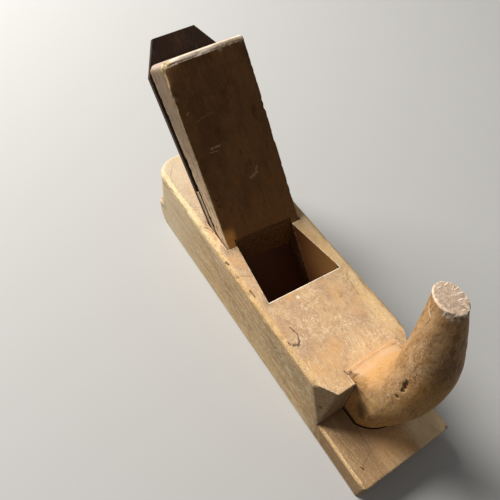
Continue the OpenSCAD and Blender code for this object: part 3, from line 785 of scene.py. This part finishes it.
hornShape = {
    "voxel": 0.55, "soften": 0.5, "rounds": 6,
    # The shoulder at the tongue's corner flows into the neck
    "flowCorner": (66.5, -11, 57.5),
    "flowRounds": 160,
    "carve": 0.3, "lip": 0.8, "undercut": 1.3, "undercutGap": 1.4,
    "fray": [(1.3, 37, 0, 0.5), (2.6, 39, 0, 0.5)],
    # Like the stock's chips
    "pits": [
        ((89.2, -7.6, 84.5), 2.4, 0.7, (-0.8, 0.6, 0)),
        ((89.7, -9, 76.5), 1.6, 0.5, (-0.8, 0.6, 0)),
    ],
    "bump": 0.55, "specular": 0.08,
}
hornColours = {
    "brown": (172, 128, 80), "tan": (198, 158, 114), "orange": (214, 164, 104),
    "pink": (208, 171, 134), "dark": (82, 58, 42), "deep": (44, 28, 16), "speck": (236, 214, 178),
    "facet": (176, 132, 92), "chip": (232, 202, 168), "pit": (54, 26, 2), "belly": (206, 150, 80),
    "lowRight": (244, 194, 128), "chestShade": (168, 128, 84), "rim": (250, 222, 192),
    "end": (220, 198, 178), "endPale": (255, 242, 224), "endGrey": (186, 158, 132),
    "endWarm": (196, 160, 120),
}


def makeHorn():
    s = hornShape
    skin = Skin(voxelCopy("horn", s["voxel"]))
    x, y, z = skin.co.T
    free = rise(z, 20, 24) * rise(np.where(x > 72.6, 1.0, rise(z, 57, 60)), 0, 1)
    endGap = (skin.co - np.array(hornEnd)) @ np.array(hornEndOut)
    facet = np.abs((y - tongueCorner[1]) - (z - tongueCorner[2])) < 1.2
    crisp = np.where(facet & (x < 71.5) & (z > 55.5), 0.15, 1.0)
    skin.soften(s["soften"] * free * crisp * rise(-endGap, 0.6, 2.0), s["rounds"])
    corner = np.linalg.norm(skin.co - s["flowCorner"], axis=1)
    flow = rise(z, 56.3, 57.6) * rise(z, 74, 68) * (x < 78) * rise(corner, 0.0, 2.2)
    skin.soften(s["soften"] * flow, s["flowRounds"])
    carve = skin.noise(9, 31, (1, 1, 0.45)) + 0.4 * skin.noise(4, 33)
    skin.press((s["carve"] * (carve + 1)) * free * crisp * rise(-endGap, 0.5, 3))
    # Paint and wear have closed the seam round the tongue
    roundTongue = ((x < 66.6) | (y < -11.6) | (y > 19.6)) & (x < 71.5)
    seam = rise(z, 54.6, 55.6) * rise(z, 57.6, 56.6) * roundTongue
    lip = s["lip"] + 0.3 * skin.noise(1.8, 35) + 0.3 * skin.noise(5, 36)
    skin.press(-lip * seam)
    # The foot is undercut at its front right
    around = np.hypot(x - footCentre[0], y - footCentre[1])
    undercut = s["undercut"] * rise(z, footCentre[2] + s["undercutGap"], footCentre[2] + 0.3)
    undercut *= rise(x, 73.0, 76.0) * rise(y, 17, 5) * (around > 14)
    skin.press(undercut)
    # Frayed rim on the end's front and right
    rim = rise(np.abs(endGap), 2.4, 0.6) * rise(x, hornEnd[0] - 1, hornEnd[0] + 5)
    skin.press(rim * skin.lumps(s["fray"]))
    for pit in s["pits"]:
        skin.dent(*pit)
    edge = (abs(endGap) < 0.8) & (skin.out @ np.array(hornEndOut) < 0.86)
    return skin.write("hornWood", {"rim": np.exp(-skin.distance(np.flatnonzero(edge)) / 0.5)}, sharp=0.75)


hornMarks = {
    "scores": [
        (0.55, 0.8, (78.5, 14, 131.2), (79.1, 17.2, 130.7)),
        (0.4, 0.6, (76.5, 13.6, 131.3), (76.5, 16.2, 130.9)),
        (0.35, 0.8, (80.7, 11.5, 131.6), (81, 13.8, 131.3), (81.8, 16.2, 130.9)),
        (0.4, 0.5, (73.2, 11.6, 131.6), (73, 13.6, 131.3)),
        (0.4, 0.6, (72.8, 8.1, 132.1), (72.9, 9.5, 131.9)),
        (0.6, 0.6, (82.7, 11, 131.7), (83, 11.7, 131.6)),
        (0.7, 0.6, (83.2, 14.5, 131.1), (83.3, 14.8, 131.1)),
        (0.45, 0.6, (79.9, 6.3, 132.4), (80.9, 6.3, 132.4)),
        (0.6, 0.6, (81.9, 6.4, 132.4), (82.3, 6.5, 132.3)),
        (0.3, 0.8, (74.8, 15, 131.1), (76, 12.9, 131.4)),
        (0.4, 0.8, (84.2, 9, 131.9), (85, 11, 131.6)),
    ],
    "hanging": [
        (0.5, 1.4, (81.5, 3.2, 131.9), (81.9, 2.7, 130)),
        (0.5, 1, (82.6, 3.7, 131.8), (83.2, 3.3, 130), (84.2, 3.9, 130.6)),
        (0.55, 1, (84.6, 4.9, 131.5), (84.9, 4.2, 129.6), (86, 5, 129.9)),
        (0.55, 1, (85.6, 6.3, 131.7), (86.6, 6.4, 129.4), (86.9, 7, 130.6)),
        (0.5, 1.4, (86.5, 8.7, 131.5), (87.6, 9, 129.6)),
        (0.45, 1.2, (87.2, 11, 130.9), (87.7, 10.2, 129.2)),
        (0.5, 0.5, (73.9, 4, 129.3), (74.9, 3.1, 127.1), (76.7, 2.1, 126), (78.3, 1.4, 125.3)),
    ],
    "pits": [
        (1.8, 2.2, (89.5, -7.9, 82.4), (88.8, -6.6, 89)),
        (1.6, 1.4, (89.7, -9, 76.5), (89.7, -9, 77)),
        (0.8, 1, (84.5, -13, 66), (84.6, -13, 66.4)),
        (1.1, 0.6, (68.8, -8.5, 59.7), (69.2, -8.4, 60.4)),
    ],
}


def hornMaterial():
    look = Look("carved horn wood", hornColours)
    noise, times, plus, coats, mark = look.noise, look.times, look.plus, look.coats, look.mark
    p, x, y, z = look.place, look.x, look.y, look.z
    fine = noise(p, (2.6, 2.6, 0.3), 2, 0.6)
    streak = noise(p, (0.5, 0.5, 0.07), 4, 0.6, 0.6)
    patch = noise(p, (0.06, 0.06, 0.035), 4, 0.6)
    cloud = noise(look.shifted(p, (5, 17, 3)), (0.16, 0.16, 0.09), 5, 0.7, 0.6)
    mottle = noise(p, (0.7, 0.7, 0.4), 4, 0.7)
    grit = noise(p, (2.2, 2.2, 1.4), 2, 0.6)
    # Painted light and shade: orange at the back, which faces the light, greyer and darker round the front
    # and right, which face away from it
    warm = times((x, 88, 72), (z, 108, 62))
    colour = coats("brown", [
        ("tan", (cloud, 0.36, 0.64)),
        ("orange", warm, (cloud, 0.3, 0.6, 0.95, 0.7)),
    ])
    frontTone = look.coat("dark", "belly", (z, 112, 84))
    # Painted shade on the chest beside the shoulder, where the surface turns away from the light
    chestShade = mark(5.5, 1.5, (70, -12, 57), (74.5, -11, 60), (75, -12.4, 52))
    # Dark grain marks are painted stronger on the shaded side
    shadedSide = look.step(warm, 0.1, 0.7, 1, 0.35)
    colour = coats(colour, [
        (frontTone, (plus(x, times(y, -0.35)), 88, 98), (patch, 0.35, 0.6, 0.58, 0.84)),
        ("belly", (z, 62, 40), (y, -30, -6, 1, 0.8), 0.7),
        ("lowRight", mark(9, 0, (80, -12.4, 46), (88, -11.6, 60), (93, -9.3, 67)), 0.75),
        ("chestShade", chestShade, (mottle, 0.3, 0.6, 0.5, 0.8)),
        ("dark", shadedSide, (streak, 0.5, 0.66, 0, 0.42)),
        ("tan", (streak, 0.46, 0.34, 0, 0.3)),
        ("dark", shadedSide, (fine, 0.5, 0.72, 0, 0.35)),
        ("dark", shadedSide, (mottle, 0.54, 0.7, 0, 0.3)),
        ("speck", (mottle, 0.44, 0.3, 0, 0.22)),
        ("speck", (grit, 0.44, 0.28, 0, 0.3)),
        ("dark", (grit, 0.56, 0.72, 0, 0.3)),
    ])
    # Whitish specks down the neck's right edge
    worn = mark(7, 4, (80, -5, 124), (87.1, -4, 104), (88.8, -6.6, 88), (87, -10, 72), (82, -12, 60))
    speck = look.dots(p, (1.1, 1.1, 0.7), 0.34, 0.14, 0.45)
    colour = coats(colour, [
        ("speck", worn, speck, 0.75),
        ("speck", worn, (mottle, 0.5, 0.35, 0, 0.35)),
    ])
    # Shoulders: a pale slope at the back and a grey sawn facet at the right
    rise45 = plus(z, -tongueCorner[2])
    back = plus(x, -tongueCorner[0], times(rise45, -1))
    onBack = times((look.size(back), 3.4, 0.6), (x, 73, 70))
    right = plus(y, -tongueCorner[1], times(rise45, -1))
    facet = look.mix((mottle, 0.35, 0.6), "facet", "dark")
    colour = coats(colour, [
        ("pink", onBack, (cloud, 0.35, 0.65, 0.45, 0.9)),
        ("chip", onBack, (plus(rise45, times(mottle, -9)), -3.8, -4.6), 0.75),
        (facet, (look.size(right), 1.3, 0.6), (x, 70.2, 68.8), (z, 55.7, 56.1), 0.75),
        # The flat side beside the step painted darker: partly darker wood, partly painted shadow of the
        # step
        ("dark", (y, -12, -12.3), (z, 56, 54.5), 0.75),
        # Painted shade in the undercut at the foot's front right
        ("deep", (z, footCentre[2] + 1.3, footCentre[2] + 0.6), (y, 17, 6), 0.9),
    ])
    # Sawn end: grey and rough, with a light rim and scratches that run outwards
    below = look.along(hornEndOut, hornEnd)
    end = look.step(below, -0.55, -0.2)
    scores = look.marks(hornMarks["scores"])
    endTone = coats("end", [
        ("endGrey", (mottle, 0.3, 0.65)),
        ("endWarm", (cloud, 0.5, 0.7, 0, 0.4)),
        ("endPale", scores, 0.95),
        ("endPale", mark(0.5, 1, (77.4, 9.1, 131.9), (78.5, 14, 131.2)), 0.5),
        ("endPale", (grit, 0.44, 0.3, 0, 0.45)),
        ("deep", mark(0.6, 0.5, (83.7, 10.7, 131.7), (85.5, 12, 131.5)), 0.9),
    ])
    rim = times(look.attribute("rim"), (mottle, 0.66, 0.5, 0.35, 1))
    colour = coats(colour, [(endTone, end), ("rim", (rim, 0.3, 0.7, 0, 0.92))])
    # Frayed fibres hang below the rim at the front right
    fibres = noise(p, (1.3, 1.3, 0.7), 3, 0.7, 1.2)
    fibre = look.step(look.size(plus(fibres, -0.5)), 0.035, 0.012)
    frayed = times(look.band(below, -2.4, -0.5, 0.4), (x, 78.5, 81.5), (y, 15, 11))
    pits = look.marks(hornMarks["pits"])
    colour = coats(colour, [
        ("pit", frayed, (fibres, 0.5, 0.6, 0, 0.5)),
        ("endPale", frayed, fibre, (cloud, 0.45, 0.55)),
        ("endPale", look.marks(hornMarks["hanging"]), 0.85),
        ("pit", (pits, 0.05, 0.62), 0.94),
    ])
    roughness = look.coat((mottle, 0.3, 0.7, 0.42, 0.6), (0.8, 0.8, 0.8, 1), end)
    relief = [(fine, -0.07), (streak, -0.16), (mottle, -0.12), (end, scores, 0.3), (pits, -0.8)]
    return look.finish(colour, roughness, relief, hornShape)


horn = makeHorn()
finishPiece(horn, hornMaterial(), "plane_body", "horn")
print("horn done")


wedgeShape = {
    "grid": 0.8,
    "edgeWear": 0.4, "edgeReach": (2.4, 0.4), "softRounds": 5, "patches": (7, 41),
    # Nicks along the arrises, and a smaller kind that stays closer to them
    "nicks": [(3.0, 43, 0.25, 0.9)],
    "nickReach": (2.0, 0.3),
    "chips": [(1.7, 45, 0.3, 0.5)],
    "chipReach": (1.6, 0.3),
    # The upper right corner is worn round
    "corner": (-89.5, -22.5, 137.5),
    "cornerSize": 11, "cornerRounds": 90,
    "pit": ((-80.7, -22.6, 125.8), 1.8, 0.8),
    "bump": 0.5, "specular": 0.09,
}
wedgeColours = {
    "face": (98, 68, 40), "faceWarm": (124, 86, 50), "faceGrey": (112, 86, 60),
    "strip": (152, 130, 108), "stripDark": (108, 88, 70), "stripLow": (246, 214, 176),
    "arris": (200, 172, 126), "end": (188, 167, 150), "endFrontPaintedLight": (255, 234, 212),
    "yellow": (224, 202, 150), "pit": (110, 88, 44), "legReflectedLight": (234, 170, 92),
    "olive": (158, 134, 84), "inside": (112, 74, 36), "dark": (54, 33, 18),
    "scratch": (166, 138, 102),
}


def makeWedge():
    s = wedgeShape
    mesh = weldedCopy("wedge")
    gridCut(mesh, [
        (upBed, 30, 200, s["grid"]),
        (across, -24, 24, s["grid"]),
        (offBed, -10, 40, s["grid"]),
    ])
    skin = Skin(mesh, 0.25)
    outerGap = skin.distance(skin.outer)
    z = skin.co[:, 2]
    above = rise(z, 54, 60)
    patchy = 0.5 + 0.5 * skin.noise(*s["patches"])
    top = rise(z, 128, 136)
    weight = s["edgeWear"] * np.maximum(patchy, top) * above * rise(outerGap, *s["edgeReach"])
    skin.soften(np.clip(weight, 0, 0.6), s["softRounds"])
    nicks = skin.lumps(s["nicks"]) * rise(outerGap, *s["nickReach"])
    chips = skin.lumps(s["chips"]) * rise(outerGap, *s["chipReach"])
    skin.press((nicks + chips) * above)
    corner = np.linalg.norm(skin.co - s["corner"], axis=1)
    skin.soften(0.6 * rise(corner, s["cornerSize"], 2), s["cornerRounds"])
    skin.dent(*s["pit"])
    return skin.write("wedgeWood", {
        "edge": np.exp(-outerGap / 1.0),
        "corner": rise(corner, 4.6, 2.4),
        "cornerNear": rise(corner, 11.0, 3.0),
    })


wedgeMarks = {
    "scuffs": [
        (0.75, 1.6, (-74.7, -19.4, 118.1), (-75.2, -17.9, 118.9)),
        (1, 1.8, (-61.8, -13.4, 101.7), (-61.6, -7.9, 102)),
        (0.6, 1.2, (-61, -15, 100.2), (-60.4, -10.2, 100)),
        (1.2, 1.4, (-47.1, 3, 83.9), (-47.9, 7.5, 85.5)),
        (0.9, 1, (-48.4, 6.8, 86), (-49.6, 8.2, 87.6)),
        (0.5, 1.4, (-40, 15.5, 74.5), (-41.5, 18, 76.5)),
        (0.4, 1.2, (-78, -17.5, 123), (-79, -16.6, 124.4)),
    ],
    "faint": [
        (0.6, 1.6, (-71.5, -16.2, 114.2), (-72, -6.1, 116)),
        (0.5, 1.6, (-84, 8, 132), (-82, 10, 129.6)),
        (0.5, 2.4, (-36, -18, 68), (-34, -6, 67), (-34.6, 8, 68)),
    ],
    "nicks": [
        (0.9, 1.6, (-46.8, -21.9, 80.9), (-45.5, -20.2, 79.4)),
        (0.5, 0.8, (-57, 1.9, 97), (-55.5, 2.3, 95)),
        (0.6, 1.2, (-60.5, -17.6, 99), (-60, -14.4, 98.4)),
        (0.7, 1.4, (-44, -20.8, 77.2), (-43, -19, 76)),
    ],
}


def wedgeMaterial():
    look = Look("stained beech", wedgeColours)
    noise, times, plus = look.noise, look.times, look.plus
    y, z = look.y, look.z
    grain = look.join(look.along(upBed), y, look.along(offBed))
    fine = noise(grain, (0.2, 2.8, 2.8), 2, 0.6)
    streak = noise(grain, (0.05, 0.6, 0.6), 4, 0.6, 0.5)
    patch = noise(grain, (0.03, 0.06, 0.06), 4, 0.65)
    cloud = noise(look.shifted(grain, (9, 5, 0)), (0.12, 0.16, 0.16), 5, 0.7, 0.5)
    mottle = noise(grain, (0.6, 0.9, 0.9), 4, 0.7)
    grit = noise(grain, (1.8, 2.4, 2.4), 2, 0.6)
    ragged = times(plus(mottle, -0.5), 0.9)
    edge = look.attribute("edge")
    overFace = look.along(faceOut, facePoint)
    faceGap = plus(overFace, times(look.attribute("cornerNear"), 1.1), times(ragged, 0.5))
    face = look.step(faceGap, look.step(z, 128, 136, -0.75, -0.4), -0.1)
    face = times(face, (plus(edge, times(ragged, 1.4)), 0.95, 0.72))
    # Bare wood: greyish sides and a pinkish end
    arris = look.step(plus(edge, times(ragged, 0.8)), 0.3, 0.5)
    bare = look.coats("strip", [
        ("stripLow", (z, 112, 60)),
        ("stripDark", (streak, 0.44, 0.66, 0, 0.45)),
        ("stripDark", (cloud, 0.48, 0.62, 0, 0.6)),
        ("stripDark", (grit, 0.54, 0.68, 0, 0.35)),
        ("arris", arris, (z, 137, 133), 0.8),
        ("dark", (fine, 0.5, 0.72, 0, 0.35)),
        ("end", (mottle, 0.43, 0.3, 0, 0.35)),
    ])
    endGap = look.along((-0.602, 0, 0.799), (-90.2, 0, 140.9))
    endUp = times((y, -23.15, -22.4), (endGap, -4.2, -2.4))
    slope = plus(overFace, times(ragged, 1.2))
    # The end's rounded front is painted pale, as painted light where it turns away from the lamp
    endTone = look.coat("end", "endFrontPaintedLight", (slope, -4, -2.2))
    corner = times((y, -16.5, -19), endUp, (slope, -4.6, -3.2))
    corner = look.most(corner, times(look.attribute("corner"), (slope, -6, -2.5)))
    bare = look.coats(bare, [
        (endTone, endUp, 0.92),
        ("strip", endUp, (mottle, 0.56, 0.7, 0, 0.3)),
        ("yellow", corner, 0.75),
        ("pit", corner, (mottle, 0.5, 0.58, 0, 0.85)),
    ])
    # The top's front half fades through a speckled olive into the face
    fade = times(endUp, (slope, -1.6, -0.4), (y, 2, 14, 0.03, 0.8))
    bare = look.coats(bare, [("olive", fade, 0.6), ("dark", fade, (grit, 0.5, 0.6, 0, 0.7))])
    # Dark face, partly stained and partly painted shade, warmer and lighter towards the throat
    lower = look.step(z, 120, 62)
    scuffs = look.marks(wedgeMarks["scuffs"])
    nicks = look.marks(wedgeMarks["nicks"])
    tone = look.coats("face", [
        ("faceWarm", (plus(patch, times(lower, 0.18)), 0.42, 0.66)),
        ("faceGrey", (cloud, 0.5, 0.66, 0, 0.35)),
        ("dark", (cloud, 0.44, 0.32, 0, 0.4)),
        ("dark", (streak, 0.5, 0.66, 0, 0.22)),
        ("dark", (fine, 0.5, 0.72, 0, 0.25)),
        ("scratch", (mottle, 0.42, 0.28, 0, 0.22)),
        ("scratch", (grit, 0.4, 0.26, 0, 0.22)),
        # Painted reflected light on the right leg, as if lit from the stock's cheek
        ("legReflectedLight", (y, -15.5, -18.6), (z, 67, 62), (mottle, 0.3, 0.6, 0.9, 0.6)),
        ("scratch", scuffs, (mottle, 0.64, 0.44, 0.5, 0.95)),
        ("scratch", look.marks(wedgeMarks["faint"]), 0.28),
        ("dark", nicks, 0.85),
    ])
    colour = look.coat(bare, tone, face)
    # Everything down in the throat is painted dark, as painted shade
    insideTone = look.coat("inside", "dark", (mottle, 0.4, 0.6))
    colour = look.coat(colour, insideTone, (z, 59.4, 58.6), (look.size(y), 18.7, 18.3), 0.95)
    relief = [(fine, -0.07), (streak, -0.1), (mottle, -0.08), (plus(scuffs, nicks), -0.25)]
    return look.finish(colour, (mottle, 0.3, 0.7, 0.5, 0.68), relief, wedgeShape)


wedge = makeWedge()
finishPiece(wedge, wedgeMaterial(), "wedge", "wedge")
print("wedge done")


ironShape = {"bevel": 0.22, "segments": 2, "angle": 32, "metal": 0.3, "bump": 0.5, "specular": 0.2}
ironColours = {
    "brown": (46, 31, 21), "rust": (58, 37, 24), "black": (24, 17, 13), "oil": (66, 28, 10),
    "bright": (120, 108, 96), "capEdge": (200, 172, 146), "brass": (150, 116, 62),
    "brassDark": (104, 76, 40), "steel": (104, 96, 88), "steelDark": (66, 56, 48),
}


def makeIron(node, name):
    s = ironShape
    mesh = weldedCopy(node)
    bmesh.ops.dissolve_limit(mesh, angle_limit=0.004, verts=mesh.verts, edges=mesh.edges)
    data = bpy.data.meshes.new(name)
    mesh.to_mesh(data)
    mesh.free()
    body = addObject(name, data)
    bevel = body.modifiers.new("soft edges", "BEVEL")
    bevel.width = s["bevel"] * millimetre
    bevel.segments = s["segments"]
    bevel.limit_method = "ANGLE"
    bevel.angle_limit = math.radians(s["angle"])
    shadeSmooth(data, math.radians(s["angle"]))
    print(f"{name}: {len(data.polygons)} faces before its soft edges")
    return body


def ironMaterial(name, base, warm, edge=None):
    look = Look(name, ironColours)
    p, y, z = look.place, look.y, look.z
    up = look.along(upBed)
    grain = look.join(up, y, look.along(offBed))
    patch = look.noise(p, (0.07, 0.07, 0.07), 5, 0.65, 0.6)
    cloud = look.noise(p, (0.3, 0.3, 0.3), 5, 0.7, 0.8)
    speck = look.noise(p, (1.5, 1.5, 1.5), 3, 0.7)
    hair = look.hairs(grain, (0.04, 1.2, 1.2), 0.6)
    colour = look.coats(base, [
        (warm, (patch, 0.38, 0.64)),
        ("black", (cloud, 0.52, 0.68, 0, 0.6)),
        ("black", (speck, 0.55, 0.7, 0, 0.6)),
        (warm, (speck, 0.4, 0.28, 0, 0.3)),
        ("bright", hair, 0.3),
        ("oil", (z, 60, 50, 0, 0.7)),
    ])
    # The ground bevel and the edge are kept bright
    ground = look.step(up, 7.5, 5)
    colour = look.coat(colour, "bright", ground, (cloud, 0.66, 0.5, 0.3, 0.8))
    if edge:
        worn = look.step(look.size(y), 23.6, 23.8)
        colour = look.coat(colour, edge, worn, (cloud, 0.64, 0.46, 0.4, 0.9))
    look.shade("Metallic", ironShape["metal"])
    return look.finish(colour, (speck, 0.3, 0.7, 0.5, 0.72), [(speck, 0.1), (cloud, 0.12)], ironShape)


ironLook = ironMaterial("browned iron", "brown", "rust")
capLook = ironMaterial("browned cap iron", "brown", "rust", "capEdge")
brassLook = ironMaterial("tarnished brass", "brass", "brassDark")
steelLook = ironMaterial("dull steel", "steel", "steelDark")
finishPiece(makeIron("iron", "cuttingIron"), ironLook, "blade", "iron")
finishPiece(makeIron("cap_iron", "capIron"), capLook, "chip_breaker", "cap_iron")
finishPiece(makeIron("cap_bush", "capBush"), brassLook, "chip_breaker", "cap_bush")
finishPiece(makeIron("cap_screw", "capScrew"), steelLook, "screw", "cap_screw")
print("irons done")

bpy.context.scene.view_settings.view_transform = "Standard"
